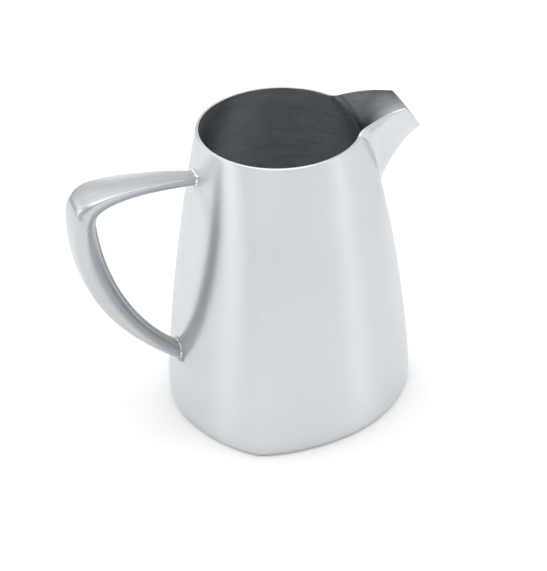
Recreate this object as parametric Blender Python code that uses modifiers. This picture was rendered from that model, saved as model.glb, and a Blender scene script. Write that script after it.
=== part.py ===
"""A cream jug in satin stainless steel, as the pieces that it is welded up from.

The jug stands on z = 0 with its axis on Z. The spout points along +X and the handle along -X.
Low down the body is a rounded triangle, with a corner under the spout and a flat behind it,
and it turns into a circle at the rim. Everything is in metres.
"""

import math

import bpy
import bmesh
import numpy as np

MM = 0.001

# The sheet and the clearances between neighbouring pieces.
SHEET = 0.8 * MM
GAP = 0.3 * MM

# Body: height, the four Bezier radii from base to rim, and the corner waves at the base.
HEIGHT = 91.5 * MM
BODY_RADII = (37.0 * MM, 35.8 * MM, 31.8 * MM, 25.0 * MM)
CORNER_WAVE = 2.6 * MM
CORNER_WAVE_2 = 0.36 * MM
BASE_ROUND_HEIGHT = 6.0 * MM
BASE_ROUND_INSET = 1.6 * MM
WALL_FOOT_INSET = BASE_ROUND_INSET + 0.6 * SHEET
RING_POINTS = 72
BODY_HEIGHTS = (0.0, 0.4, 1.3, 3.0, 6.0, 14.0, 24.0, 34.0, 44.0, 54.0, 63.0, 71.0, 78.0, 84.0, 88.5, 91.5)

# Base plate: flat sheet inside the turned-in foot of the wall, with broken edges.
BASE_WELD_RADIUS = 0.3 * MM
PLATE_EDGE = 0.15 * MM

# Spout: a sheet trough on a V notch in the wall.
NOTCH_ROOT = 67.0 * MM
NOTCH_THROAT = 2.6 * MM
NOTCH_THROAT_ROUND = 4.0 * MM
NOTCH_FLARE = 9.45 * MM
NOTCH_FLARE_POWER = 4
CUTTER_THROAT = 1.6 * MM
CUTTER_ROOT = 0.5 * MM
CUTTER_REACH = (15 * MM, 40 * MM)
SPOUT_TIP = (44.4 * MM, 83.4 * MM)
SPOUT_CORNER = (37.9 * MM, 6.3 * MM, 93.6 * MM)
KEEL_LEAVES = (0.2 * MM, 4.0 * MM)
KEEL_ARRIVES = (4.9 * MM, 1.6 * MM)
EDGE_LEAVES = (5.0 * MM, -1.8 * MM, 1.5 * MM)
EDGE_ARRIVES = (5.0 * MM, -1.9 * MM, -0.3 * MM)
SEAM_WELD_RADIUS = 0.4 * MM
SEAM_CLEARANCE = SEAM_WELD_RADIUS + GAP + 0.3 * MM
SPOUT_STEPS_ALONG = 12
SPOUT_STEPS_ACROSS = 20

# Handle: outer and inner lines in the plane y = 0, each of two Bezier arcs that meet at the corner.
HANDLE_OUTER = (
    (-26.6, 80.7), (-47.9, 83.3), (-65.3, 81.5), (-65.3, 75.4),
    (-65.3, 56.3), (-62.7, 39.0), (-33.5, 19.4),
)
HANDLE_INNER = (
    (-26.8, 78.4), (-53.4, 79.5), (-58.9, 75.6), (-58.9, 71.0),
    (-58.9, 64.7), (-54.5, 38.7), (-33.6, 23.7),
)
OUTER_WIDTH_ENDS = (5.0 * MM, 7.6 * MM)
OUTER_WIDTH_SWELL = 8.5 * MM
INNER_WIDTH_ENDS = (5.0 * MM, 4.6 * MM)
OUTER_CROWN = 0.8 * MM
INNER_CROWN_END = 0.3 * MM
INNER_CROWN_SWELL = 0.9 * MM
SIDE_BULGE = (0.45, 0.96)
HANDLE_STATIONS = 30
HANDLE_RUN_IN = 4.0 * MM
HANDLE_WELD_RADIUS = 0.5 * MM
WELD_CLEARANCE = 0.15 * MM

STEEL = (0.66, 0.68, 0.70)
WELD = (0.78, 0.79, 0.80)


# ---------------------------------------------------------------- scene and mesh helpers

def clear_scene():
    for obj in list(bpy.data.objects):
        bpy.data.objects.remove(obj)


def new_collection(name):
    collection = bpy.data.collections.new(name)
    bpy.context.scene.collection.children.link(collection)
    return collection


def steel(name, color, roughness):
    material = bpy.data.materials.new(name)
    material.use_nodes = True
    shader = material.node_tree.nodes["Principled BSDF"]
    shader.inputs["Base Color"].default_value = (*color, 1.0)
    shader.inputs["Metallic"].default_value = 1.0
    shader.inputs["Roughness"].default_value = roughness
    return material


def mesh_object(name, points, faces, collection, material=None):
    mesh = bpy.data.meshes.new(name)
    mesh.from_pydata([tuple(p) for p in points], [], faces)
    mesh.shade_smooth()
    mesh.set_sharp_from_angle(angle=math.radians(35))
    obj = bpy.data.objects.new(name, mesh)
    if material:
        mesh.materials.append(material)
    collection.objects.link(obj)
    return obj


def band_faces(rows, columns, closed):
    """Quads of a grid of rows x columns points. A closed grid joins its last column to its first."""
    faces = []
    for row in range(rows - 1):
        for column in range(columns if closed else columns - 1):
            after = (column + 1) % columns
            low, high = row * columns, (row + 1) * columns
            faces.append((low + column, low + after, high + after, high + column))
    return faces


def open_surface(name, rows, closed, collection, material):
    """A surface through rows of points, with no thickness yet."""
    count = len(rows[0])
    return mesh_object(name, np.concatenate(rows), band_faces(len(rows), count, closed), collection, material)


def solid_loft(name, rings, collection, material=None):
    """A closed solid through rings of equal count, with a flat cap on its first and last ring."""
    count = len(rings[0])
    faces = band_faces(len(rings), count, True)
    last = (len(rings) - 1) * count
    faces.append(tuple(reversed(range(count))))
    faces.append(tuple(range(last, last + count)))
    obj = mesh_object(name, np.concatenate(rings), faces, collection, material)
    shape = bmesh.new()
    shape.from_mesh(obj.data)
    bmesh.ops.recalc_face_normals(shape, faces=shape.faces)
    shape.to_mesh(obj.data)
    shape.free()
    return obj


def thicken(obj, thickness):
    """Gives an open surface its wall, on the side away from its normals."""
    solidify = obj.modifiers.new("wall", "SOLIDIFY")
    solidify.thickness = thickness
    solidify.offset = -1.0
    solidify.use_even_offset = True


def cut(obj, cutter):
    boolean = obj.modifiers.new("cut_" + cutter.name, "BOOLEAN")
    boolean.operation = "DIFFERENCE"
    boolean.object = cutter
    cutter.hide_render = True
    cutter.display_type = "WIRE"


def bead(name, points, radius, cyclic, collection, material):
    """A weld bead: a round wire along a line of points."""
    curve = bpy.data.curves.new(name, "CURVE")
    curve.dimensions = "3D"
    curve.bevel_depth = radius
    curve.bevel_resolution = 1
    curve.use_fill_caps = not cyclic
    spline = curve.splines.new("POLY")
    spline.points.add(len(points) - 1)
    for target, point in zip(spline.points, points):
        target.co = (*point, 1.0)
    spline.use_cyclic_u = cyclic
    curve.materials.append(material)
    obj = bpy.data.objects.new(name, curve)
    collection.objects.link(obj)
    return obj


def bezier(points, t):
    """The cubic Bezier curve of four points, at every value in t."""
    t = np.asarray(t, float)[:, None]
    p = [np.asarray(point, float) for point in points]
    return (1 - t) ** 3 * p[0] + 3 * t * (1 - t) ** 2 * p[1] + 3 * t * t * (1 - t) * p[2] + t ** 3 * p[3]


# ---------------------------------------------------------------- body

def outline(z, inset, angles):
    """The body's outline at height z, moved in by inset.

    The outline is given by how far its tangent lies from the axis: a radius, plus waves of
    three and six corners that fade out towards the rim.
    """
    s = z / HEIGHT
    a, b, c, d = BODY_RADII
    radius = a * (1 - s) ** 3 + 3 * b * s * (1 - s) ** 2 + 3 * c * s * s * (1 - s) + d * s ** 3
    wave = 1 - s ** 3
    reach = radius - inset + wave * (CORNER_WAVE * np.cos(3 * angles) + CORNER_WAVE_2 * np.cos(6 * angles))
    slope = -wave * (3 * CORNER_WAVE * np.sin(3 * angles) + 6 * CORNER_WAVE_2 * np.sin(6 * angles))
    x = reach * np.cos(angles) - slope * np.sin(angles)
    y = reach * np.sin(angles) + slope * np.cos(angles)
    return np.stack([x, y, np.full_like(x, z)], axis=1)


def ring_angles():
    return np.arange(RING_POINTS) * 2 * math.pi / RING_POINTS


def base_round(z):
    """How far the wall turns in at height z, over the rounded bottom edge."""
    if z >= BASE_ROUND_HEIGHT:
        return 0.0
    rise = (BASE_ROUND_HEIGHT - z) / BASE_ROUND_HEIGHT
    return BASE_ROUND_INSET * (1 - math.sqrt(1 - rise * rise))


def wall_x(y, z, inset, side):
    """x of the wall at a given y and z, on the spout's side (1) or the handle's side (-1)."""
    middle = 0.0 if side > 0 else math.pi
    around = middle + side * np.linspace(-1.0, 1.0, 401)
    ring = outline(z, inset, around)
    return float(np.interp(y, ring[:, 1], ring[:, 0]))


def make_body_wall(parts, cutters, material):
    rows = [outline(z * MM, base_round(z * MM), ring_angles()) for z in BODY_HEIGHTS]
    wall = open_surface("body_wall", rows, True, parts, material)
    thicken(wall, SHEET)
    clearance = SEAM_WELD_RADIUS + GAP
    heights = np.linspace(NOTCH_ROOT, HEIGHT, 16)
    right = [(notch_half_width(z) + clearance, z) for z in heights]
    right[0] = (CUTTER_THROAT, NOTCH_ROOT - CUTTER_ROOT)
    right.append((right[-1][0], HEIGHT + 5 * MM))
    side = [(0.0, NOTCH_ROOT - clearance), *right]
    edge = side + [(-y, z) for y, z in reversed(side[1:])]
    rings = [np.array([(x, y, z) for y, z in edge]) for x in CUTTER_REACH]
    cut(wall, solid_loft("spout_notch", rings, cutters))
    return wall


def make_base(parts, materials):
    """The base plate, flat with broken edges, and the weld round it."""
    middle = WALL_FOOT_INSET + 2 * GAP + 2 * BASE_WELD_RADIUS
    rings = []
    for inset, z in ((PLATE_EDGE, 0.0), (0.0, PLATE_EDGE), (0.0, SHEET - PLATE_EDGE), (PLATE_EDGE, SHEET)):
        ring = outline(0.0, middle + inset, ring_angles())
        ring[:, 2] = z
        rings.append(ring)
    solid_loft("base_plate", rings, parts, materials["plate"])
    line = outline(0.0, WALL_FOOT_INSET + GAP + BASE_WELD_RADIUS, ring_angles())
    line[:, 2] = SHEET / 2
    bead("base_seam_weld", line, BASE_WELD_RADIUS, True, parts, materials["weld"])


# ---------------------------------------------------------------- spout

def notch_half_width(z):
    """Half the width at height z of the opening that the spout stands on: a round throat, and a flare."""
    rise = max(0.0, z - NOTCH_ROOT)
    short = 1 - min(1.0, rise / NOTCH_THROAT_ROUND)
    flare = (rise / (HEIGHT - NOTCH_ROOT)) ** NOTCH_FLARE_POWER
    return NOTCH_THROAT * math.sqrt(1 - short * short) + NOTCH_FLARE * flare


def seam_point(across):
    """A point where spout and wall meet. across runs from -1 at one rim corner, over the root, to 1."""
    z = NOTCH_ROOT + abs(across) ** 1.5 * (HEIGHT - NOTCH_ROOT)
    y = math.copysign(notch_half_width(z), across)
    return np.array([wall_x(y, z, 0.0, 1), y, z])


def spout_rib(across, along):
    """One line of the spout's outside, from the wall to the free end.

    Each rib is a Bezier arc. Its two handles go from the keel's to the top edge's as across
    goes from 0 to 1 or -1, and the free end is a rounded V.
    """
    w = abs(across)
    sign = 1.0 if across >= 0 else -1.0
    start = seam_point(across)
    tip = np.array([SPOUT_TIP[0], 0.0, SPOUT_TIP[1]])
    corner = np.array([SPOUT_CORNER[0], sign * SPOUT_CORNER[1], SPOUT_CORNER[2]])
    recede = w * w * (1.3 - 0.3 * w)
    rise = w * w * (1.6 - 0.6 * w)
    end = tip + (corner - tip) * np.array([recede, w, rise])
    mix = w ** 1.5
    leave = (1 - mix) * np.array([KEEL_LEAVES[0], 0, KEEL_LEAVES[1]])
    leave += mix * np.array([EDGE_LEAVES[0], sign * EDGE_LEAVES[1], EDGE_LEAVES[2]])
    arrive = (1 - mix) * np.array([KEEL_ARRIVES[0], 0, KEEL_ARRIVES[1]])
    arrive += mix * np.array([EDGE_ARRIVES[0], sign * EDGE_ARRIVES[1], EDGE_ARRIVES[2]])
    return bezier((start, start + leave, end - arrive, end), along)


def make_spout(parts, materials):
    seam = np.array([seam_point(across) for across in np.linspace(-1, 1, 81)])
    steps = np.linspace(0, 1, 101)
    ribs = []
    for across in np.linspace(-1, 1, SPOUT_STEPS_ACROSS + 1):
        fine = spout_rib(across, steps)
        away = np.linalg.norm(fine[:, None] - seam[None], axis=2).min(axis=1)
        first = float(np.interp(SEAM_CLEARANCE, away[:50], steps[:50]))
        ribs.append(spout_rib(across, np.linspace(first, 1, SPOUT_STEPS_ALONG + 1)))
    rows = [np.array([rib[step] for rib in ribs]) for step in range(SPOUT_STEPS_ALONG + 1)]
    spout = open_surface("spout", rows, False, parts, materials["sheet"])
    thicken(spout, SHEET)
    line = []
    for across in np.linspace(-0.985, 0.985, 31):
        point = seam_point(across)
        inward = np.array([point[0], point[1], 0.0])
        line.append(point - inward / np.linalg.norm(inward) * SHEET / 2)
    bead("spout_seam_weld", line, SEAM_WELD_RADIUS, False, parts, materials["weld"])


# ---------------------------------------------------------------- handle

def handle_line(points, u):
    """The point of an outer or inner line at u, which runs from 0 at the rim to 1 at the foot."""
    u = np.atleast_1d(u)
    arm = bezier(points[:4], np.minimum(u * 2, 1))
    grip = bezier(points[3:], np.maximum(u * 2 - 1, 0))
    flat = np.where(u[:, None] <= 0.5, arm, grip) * MM
    return np.stack([flat[:, 0], np.zeros(len(u)), flat[:, 1]], axis=1)


def handle_section(u, grow=0.0):
    """The ring of points round the handle at u: crowned outer face, bulged sides, crowned inner face."""
    outer = handle_line(HANDLE_OUTER, u)[0]
    inner = handle_line(HANDLE_INNER, u)[0]
    depth = np.linalg.norm(inner - outer)
    inward = (inner - outer) / depth
    sway = math.sin(math.pi * u ** 0.9)
    half_out = 0.5 * (OUTER_WIDTH_ENDS[0] * (1 - u) + OUTER_WIDTH_ENDS[1] * u + OUTER_WIDTH_SWELL * sway)
    half_in = 0.5 * (INNER_WIDTH_ENDS[0] * (1 - u) + INNER_WIDTH_ENDS[1] * u)
    crown_in = INNER_CROWN_END + INNER_CROWN_SWELL * math.sin(math.pi * u)
    crown_out = OUTER_CROWN * math.sin(math.pi * u)
    side = bezier_side(half_out, half_in, depth)
    ring = [(-crown_out * (1 - q * q), q * half_out) for q in (-1.0, -0.5, 0.0, 0.5)]
    ring += side
    ring += [(depth + crown_in * (1 - q * q), q * half_in) for q in (1.0, 0.0)]
    ring += [(p, -q) for p, q in [(depth, half_in), *reversed(side[1:])]]
    middle = depth / 2
    points = []
    for p, q in ring:
        spread = math.hypot(p - middle, q)
        p += grow * (p - middle) / spread
        q += grow * q / spread
        points.append(outer + inward * p + np.array([0.0, q, 0.0]))
    return np.array(points)


def bezier_side(half_out, half_in, depth):
    """Three points down a side: its outer edge, and two on the bulge."""
    bulge = (SIDE_BULGE[0] * depth, SIDE_BULGE[1] * half_out)
    points = []
    for t in (0.0, 0.35, 0.7):
        p = 2 * t * (1 - t) * bulge[0] + t * t * depth
        q = (1 - t) ** 2 * half_out + 2 * t * (1 - t) * bulge[1] + t * t * half_in
        points.append((p, q))
    return points


def run_in(rings, end, near, length):
    """The end ring of a row of sections, carried on in a straight line, past the wall."""
    step = rings[end].mean(axis=0) - rings[near].mean(axis=0)
    return rings[end] + step / np.linalg.norm(step) * length


def joint_loop(first_u, last_u, grow, off):
    """The line in which the handle's skin, moved out by grow, meets the wall's skin, moved out by off."""
    rings = [handle_section(u, grow) for u in np.linspace(first_u, last_u, 9)]
    rings.append(run_in(rings, -1, -2, HANDLE_RUN_IN))
    loop = []
    for line in np.stack(rings, axis=1):
        outside = [wall_x(y, z, -off, -1) - x for x, y, z in line]
        steps = np.arange(len(line))
        crossing = np.interp(0.0, outside[::-1], steps[::-1])
        loop.append([np.interp(crossing, steps, line[:, axis]) for axis in range(3)])
    return loop


def make_handle(parts, cutters, materials):
    stations = np.linspace(0, 1, HANDLE_STATIONS)
    rings = [handle_section(u) for u in stations]
    rings = [run_in(rings, 0, 1, HANDLE_RUN_IN), *rings, run_in(rings, -1, -2, HANDLE_RUN_IN)]
    handle = solid_loft("handle", rings, parts, materials["casting"])
    heights = [z for z in BODY_HEIGHTS if z >= BASE_ROUND_HEIGHT / MM]
    cutter_rings = [outline(z * MM, -GAP, ring_angles()) for z in heights]
    cut(handle, solid_loft("body_clearance", cutter_rings, cutters))
    off = GAP + HANDLE_WELD_RADIUS
    for name, first_u, last_u in (("handle_upper_weld", 0.15, 0.0), ("handle_lower_weld", 0.85, 1.0)):
        line = joint_loop(first_u, last_u, off + WELD_CLEARANCE, off)
        bead(name, line, HANDLE_WELD_RADIUS, True, parts, materials["weld"])


def main():
    clear_scene()
    parts = new_collection("cream_jug")
    cutters = new_collection("cutters")
    materials = {
        "sheet": steel("satin_sheet", STEEL, 0.38),
        "plate": steel("base_sheet", STEEL, 0.42),
        "casting": steel("satin_casting", STEEL, 0.34),
        "weld": steel("polished_weld", WELD, 0.18),
    }
    make_body_wall(parts, cutters, materials["sheet"])
    make_base(parts, materials)
    make_spout(parts, materials)
    make_handle(parts, cutters, materials)


main()
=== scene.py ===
# %% [markdown]
# # A satin steel cream jug
# A small jug for cream, welded up from drawn sheet, a folded spout and a solid cast handle.
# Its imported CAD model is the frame: it holds the sizes, the collision and the names of the pieces.
# This file makes the surfaces that are seen, each in the place where the frame has it.

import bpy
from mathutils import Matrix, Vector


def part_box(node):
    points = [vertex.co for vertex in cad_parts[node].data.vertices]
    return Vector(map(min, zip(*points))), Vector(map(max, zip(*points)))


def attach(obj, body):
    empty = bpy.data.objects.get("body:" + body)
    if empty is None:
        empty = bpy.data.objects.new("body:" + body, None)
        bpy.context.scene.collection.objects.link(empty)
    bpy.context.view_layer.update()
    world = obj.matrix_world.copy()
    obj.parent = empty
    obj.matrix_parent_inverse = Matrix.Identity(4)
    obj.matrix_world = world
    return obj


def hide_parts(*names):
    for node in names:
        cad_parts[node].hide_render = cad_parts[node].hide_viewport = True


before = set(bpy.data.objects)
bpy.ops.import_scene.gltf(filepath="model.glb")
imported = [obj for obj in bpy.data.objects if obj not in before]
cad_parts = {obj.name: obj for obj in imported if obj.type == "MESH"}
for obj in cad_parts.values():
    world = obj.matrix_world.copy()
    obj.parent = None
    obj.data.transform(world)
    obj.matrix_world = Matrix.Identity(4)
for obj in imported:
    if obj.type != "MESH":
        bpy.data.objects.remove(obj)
print("the packed frame is loaded")

# %% [markdown]
# Lengths below are written in millimetres times MM.

# %% Tools
import math

import bmesh
import bpy
import numpy as np
from mathutils import Matrix, Vector

MM = 0.001
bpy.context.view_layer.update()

# %% [markdown]
# The jug is seen from the handle's side, from well above, through a long lens, which keeps the
# mouth and the base nearly parallel. The camera is placed by how far round and how far up it
# stands, and it leans by one degree. It aims a little below and beside the middle of the body.

# %% Camera
CAMERA_ROUND = 0.3162
CAMERA_UP = 0.5375
CAMERA_LEAN = 0.0191
CAMERA_DISTANCE = 1.8
CAMERA_LENS = 377.0
AIM_ASIDE = -2.49 * MM
AIM_BELOW = -7.83 * MM

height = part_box("body_wall")[1].z


def camera_axes():
    """The camera's right, up and backward directions, before it turns to its aim."""
    back = Vector((
        -math.sin(CAMERA_ROUND) * math.cos(CAMERA_UP),
        -math.cos(CAMERA_ROUND) * math.cos(CAMERA_UP),
        math.sin(CAMERA_UP),
    ))
    level = Vector((math.cos(CAMERA_ROUND), -math.sin(CAMERA_ROUND), 0.0))
    upward = back.cross(level)
    right = math.cos(CAMERA_LEAN) * level - math.sin(CAMERA_LEAN) * upward
    up = math.sin(CAMERA_LEAN) * level + math.cos(CAMERA_LEAN) * upward
    return right, up, back


def add_camera():
    right, up, back = camera_axes()
    middle = Vector((0.0, 0.0, height / 2))
    place = middle + CAMERA_DISTANCE * back
    aim = middle + AIM_ASIDE * right + AIM_BELOW * up
    backward = (place - aim).normalized()
    right = up.cross(backward).normalized()
    up = backward.cross(right)
    data = bpy.data.cameras.new("camera")
    data.lens = CAMERA_LENS
    data.clip_end = 20.0
    camera = bpy.data.objects.new("camera", data)
    camera.matrix_world = Matrix.Translation(place) @ Matrix((right, up, backward)).transposed().to_4x4()
    bpy.context.scene.collection.objects.link(camera)
    bpy.context.scene.camera = camera
    return camera


camera = add_camera()
print("the camera stands at", [round(value, 3) for value in camera.location])

# %% [markdown]
# Every piece is a grid of points worked out with numpy. A grid can be open, or joined to itself
# one way round or both. Its faces are then the same small pattern of quads, so one helper makes
# them all, and a second one turns points and faces into a piece that rides on the frame.

# %% Helpers that make a piece from a grid
SHARP_EDGE = 38.0
MERGE = 0.001 * MM
WIDEST_UV_FACE = 0.6


def grid_faces(rows, columns, close_rows=False, close_columns=False):
    """Quads between neighbouring rows and columns of a grid whose points are numbered row by row."""
    row = np.arange(rows if close_rows else rows - 1)[:, None]
    column = np.arange(columns if close_columns else columns - 1)[None, :]
    next_row = (row + 1) % rows
    next_column = (column + 1) % columns
    corners = (
        row * columns + column,
        row * columns + next_column,
        next_row * columns + next_column,
        next_row * columns + column,
    )
    grids = [np.broadcast_to(corner, (len(row), column.size)) for corner in corners]
    return np.stack(grids, axis=-1).reshape(-1, 4)


def unit(vectors):
    """Vectors scaled to length one, along the last axis."""
    return vectors / np.maximum(np.linalg.norm(vectors, axis=-1, keepdims=True), 1e-12)


def make_piece(name, points, faces, uv, materials, slot_of_face=None):
    """A finished piece at the origin: doubles merged, faces pointing out, shaded smooth.

    A face that is very wide on the map crosses the map's seam, so its low corners go up by one.
    """
    mesh = bpy.data.meshes.new(name)
    mesh.from_pydata(points.reshape(-1, 3).tolist(), [], [list(face) for face in faces])
    layer = mesh.uv_layers.new(name="brush")
    corner = np.empty(len(mesh.loops), np.int32)
    mesh.loops.foreach_get("vertex_index", corner)
    first = np.empty(len(mesh.polygons), np.int32)
    mesh.polygons.foreach_get("loop_start", first)
    flat = uv.reshape(-1, 2)[corner]
    widest = np.maximum.reduceat(flat, first) - np.minimum.reduceat(flat, first)
    size = np.diff(np.append(first, len(flat)))
    wraps = np.repeat(widest > WIDEST_UV_FACE, size, axis=0)
    flat = flat + (wraps & (flat < 0.5))
    layer.data.foreach_set("uv", flat.astype(np.float32).ravel())
    for material in materials:
        mesh.materials.append(material)
    if slot_of_face is not None:
        mesh.polygons.foreach_set("material_index", slot_of_face.astype(np.int32))
    shape = bmesh.new()
    shape.from_mesh(mesh)
    bmesh.ops.remove_doubles(shape, verts=shape.verts, dist=MERGE)
    bmesh.ops.recalc_face_normals(shape, faces=shape.faces)
    shape.to_mesh(mesh)
    shape.free()
    mesh.shade_smooth()
    mesh.set_sharp_from_angle(angle=math.radians(SHARP_EDGE))
    piece = bpy.data.objects.new(name, mesh)
    bpy.context.scene.collection.objects.link(piece)
    print(name, "has", len(mesh.polygons), "faces")
    return piece


def settle(piece, slot, *nodes):
    """The piece rides on the jug's one body and stands for these CAD nodes; slot, a finish's name, is not
    used.
    """
    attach(piece, "root")
    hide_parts(*nodes)
    return piece


print("edges sharper than", SHARP_EDGE, "degrees stay sharp")

# %% [markdown]
# ## Finishes
# All of the jug is one kind of steel, finished several ways. Satin steel is polished and drawn
# past a fine belt, which leaves hair-thin parallel scratches. They spread a reflection across
# their own direction and leave it sharp along them. A small group of nodes makes the scratches:
# noise stretched a hundredfold one way. Each finish sets its own stretch and depth.

# %% Shader group: brush grain
FINE_SHARE = 0.65


def group_with(name, inputs, outputs):
    """An empty shader group with these sockets, and its two end nodes."""
    group = bpy.data.node_groups.new(name, "ShaderNodeTree")
    for label, kind, value in inputs:
        socket = group.interface.new_socket(name=label, in_out="INPUT", socket_type=kind)
        if value is not None:
            socket.default_value = value
    for label, kind in outputs:
        group.interface.new_socket(name=label, in_out="OUTPUT", socket_type=kind)
    entry = group.nodes.new("NodeGroupInput")
    leave = group.nodes.new("NodeGroupOutput")
    return group, entry, leave


def add_node(tree, kind, settings=None, **values):
    """A node with its settings, and with plain values on its named input sockets."""
    node = tree.nodes.new(kind)
    for key, value in (settings or {}).items():
        setattr(node, key, value)
    for key, value in values.items():
        node.inputs[key.replace("_", " ")].default_value = value
    return node


def brush_grain_group():
    """Streaks (a height) and Patches (a broad, soft mask), each from 0 to 1.

    Streaks = FINE_SHARE * fine noise + (1 - FINE_SHARE) * coarse noise, both stretched.
    """
    group, entry, leave = group_with(
        "brush grain",
        [("Vector", "NodeSocketVector", None), ("Stretch", "NodeSocketVector", (1.0, 1.0, 60.0))],
        [("Streaks", "NodeSocketFloat"), ("Patches", "NodeSocketFloat")],
    )
    stretch = add_node(group, "ShaderNodeVectorMath", {"operation": "MULTIPLY"})
    group.links.new(entry.outputs["Vector"], stretch.inputs[0])
    group.links.new(entry.outputs["Stretch"], stretch.inputs[1])
    fine = add_node(group, "ShaderNodeTexNoise", Scale=60.0, Detail=5.0, Roughness=0.65)
    coarse = add_node(group, "ShaderNodeTexNoise", Scale=14.0, Detail=3.0, Roughness=0.5)
    patches = add_node(group, "ShaderNodeTexNoise", Scale=22.0, Detail=2.0, Roughness=0.4)
    mixed = add_node(group, "ShaderNodeMath", {"operation": "MULTIPLY_ADD"})
    mixed.inputs[1].default_value = 1 - FINE_SHARE
    scaled = add_node(group, "ShaderNodeMath", {"operation": "MULTIPLY"})
    scaled.inputs[1].default_value = FINE_SHARE
    group.links.new(stretch.outputs["Vector"], fine.inputs["Vector"])
    group.links.new(stretch.outputs["Vector"], coarse.inputs["Vector"])
    group.links.new(entry.outputs["Vector"], patches.inputs["Vector"])
    group.links.new(fine.outputs["Fac"], scaled.inputs[0])
    group.links.new(coarse.outputs["Fac"], mixed.inputs[0])
    group.links.new(scaled.outputs[0], mixed.inputs[2])
    group.links.new(mixed.outputs[0], leave.inputs["Streaks"])
    group.links.new(patches.outputs["Fac"], leave.inputs["Patches"])
    return group


BRUSH_GRAIN = brush_grain_group()
print("made the group", BRUSH_GRAIN.name)

# %% [markdown]
# Three more groups mark where a finish changes. One knows the handle's sides by the first number
# of its map, which runs round the section from the middle of the inner face; it lays painted shade
# on the inner side and a painted highlight along the line next to it. One is a soft spot round a
# point, for a painted highlight inside the spout. One runs across the ground seam of the spout,
# where the painted shade of the spout's inside fades to the wall's inside tone.

# %% Shader groups: painted shade and highlight on the handle's sides, a painted highlight spot, and across the seam
# Where on the handle's map the painted shade and the painted highlight lie.
EDGE_TURN = 0.115
EDGE_HALF = 0.02
INNER_FADES = (0.135, 0.20)
SEAM_FADES = (0.12, 0.42)


def smooth_step(tree, source, start, end):
    """1 where source is below start, 0 where it is above end, and smooth between."""
    node = add_node(tree, "ShaderNodeMapRange", {"interpolation_type": "SMOOTHSTEP"})
    node.inputs["From Min"].default_value = start
    node.inputs["From Max"].default_value = end
    node.inputs["To Min"].default_value = 1.0
    node.inputs["To Max"].default_value = 0.0
    tree.links.new(source, node.inputs["Value"])
    return node.outputs["Result"]


def math_node(tree, operation, *values):
    """A Math node: each value is a socket to link or a number."""
    node = add_node(tree, "ShaderNodeMath", {"operation": operation})
    for index, value in enumerate(values):
        if isinstance(value, bpy.types.NodeSocket):
            tree.links.new(value, node.inputs[index])
        else:
            node.inputs[index].default_value = value
    return node.outputs[0]


def handle_shade_and_highlight_group():
    """Masks by the map: painted shade on the inner side, and a painted highlight along the line between
    side and inner face.
    """
    group, entry, leave = group_with(
        "handle sides", [("Vector", "NodeSocketVector", None)],
        [("InnerShade", "NodeSocketFloat"), ("EdgeHighlight", "NodeSocketFloat")],
    )
    split = add_node(group, "ShaderNodeSeparateXYZ")
    group.links.new(entry.outputs["Vector"], split.inputs["Vector"])
    other = math_node(group, "SUBTRACT", 1.0, split.outputs["X"])
    fold = math_node(group, "MINIMUM", split.outputs["X"], other)
    inner = smooth_step(group, fold, *INNER_FADES)
    away = math_node(group, "ABSOLUTE", math_node(group, "SUBTRACT", fold, EDGE_TURN))
    edge = smooth_step(group, away, 0.0, EDGE_HALF)
    group.links.new(inner, leave.inputs["InnerShade"])
    group.links.new(edge, leave.inputs["EdgeHighlight"])
    return group


def painted_highlight_spot_group():
    """A painted highlight's mask: 1 at the Centre, and 0 from Radius away."""
    group, entry, leave = group_with(
        "worn spot",
        [("Vector", "NodeSocketVector", None), ("Centre", "NodeSocketVector", (0.0, 0.0, 0.0)),
         ("Radius", "NodeSocketFloat", 0.01)],
        [("SpotHighlight", "NodeSocketFloat")],
    )
    away = add_node(group, "ShaderNodeVectorMath", {"operation": "DISTANCE"})
    group.links.new(entry.outputs["Vector"], away.inputs[0])
    group.links.new(entry.outputs["Centre"], away.inputs[1])
    share = math_node(group, "DIVIDE", away.outputs["Value"], entry.outputs["Radius"])
    group.links.new(smooth_step(group, share, 0.0, 1.0), leave.inputs["SpotHighlight"])
    return group


def across_seam_group():
    """Wall: 1 at the seam's edge beside the wall, and 0 at its edge beside the spout, by the map."""
    group, entry, leave = group_with(
        "across seam", [("Vector", "NodeSocketVector", None)], [("Wall", "NodeSocketFloat")])
    split = add_node(group, "ShaderNodeSeparateXYZ")
    group.links.new(entry.outputs["Vector"], split.inputs["Vector"])
    group.links.new(smooth_step(group, split.outputs["X"], *SEAM_FADES), leave.inputs["Wall"])
    return group


HANDLE_SHADE_AND_HIGHLIGHT = handle_shade_and_highlight_group()
ACROSS_SEAM = across_seam_group()
PAINTED_HIGHLIGHT_SPOT = painted_highlight_spot_group()
print("made the groups", HANDLE_SHADE_AND_HIGHLIGHT.name, ACROSS_SEAM.name, PAINTED_HIGHLIGHT_SPOT.name, sep=", ")

# %% [markdown]
# A finish is a metallic surface whose colour and roughness wander a little with the streaks and
# patches, and whose bump is the streaks themselves. The anisotropy is the part of the brushing
# that is too fine to draw: it blurs reflections across the scratches. Layers then go over it,
# each with its own mask, colour and roughness. The dark insides of the spout and its seam are
# painted shade, and the layers on the handle and in the spout are painted shade and painted highlights.

# %% The finishes
NOISE_MIDDLE = (0.38, 0.62)
SCRATCH_DEPTH = 0.05 * MM


def ramp_between(tree, source, low, high):
    """Maps the middle of a mask, where noise mostly lies, to low..high."""
    node = add_node(tree, "ShaderNodeMapRange")
    node.inputs["From Min"].default_value = NOISE_MIDDLE[0]
    node.inputs["From Max"].default_value = NOISE_MIDDLE[1]
    node.inputs["To Min"].default_value = low
    node.inputs["To Max"].default_value = high
    tree.links.new(source, node.inputs["Value"])
    return node.outputs["Result"]


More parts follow.
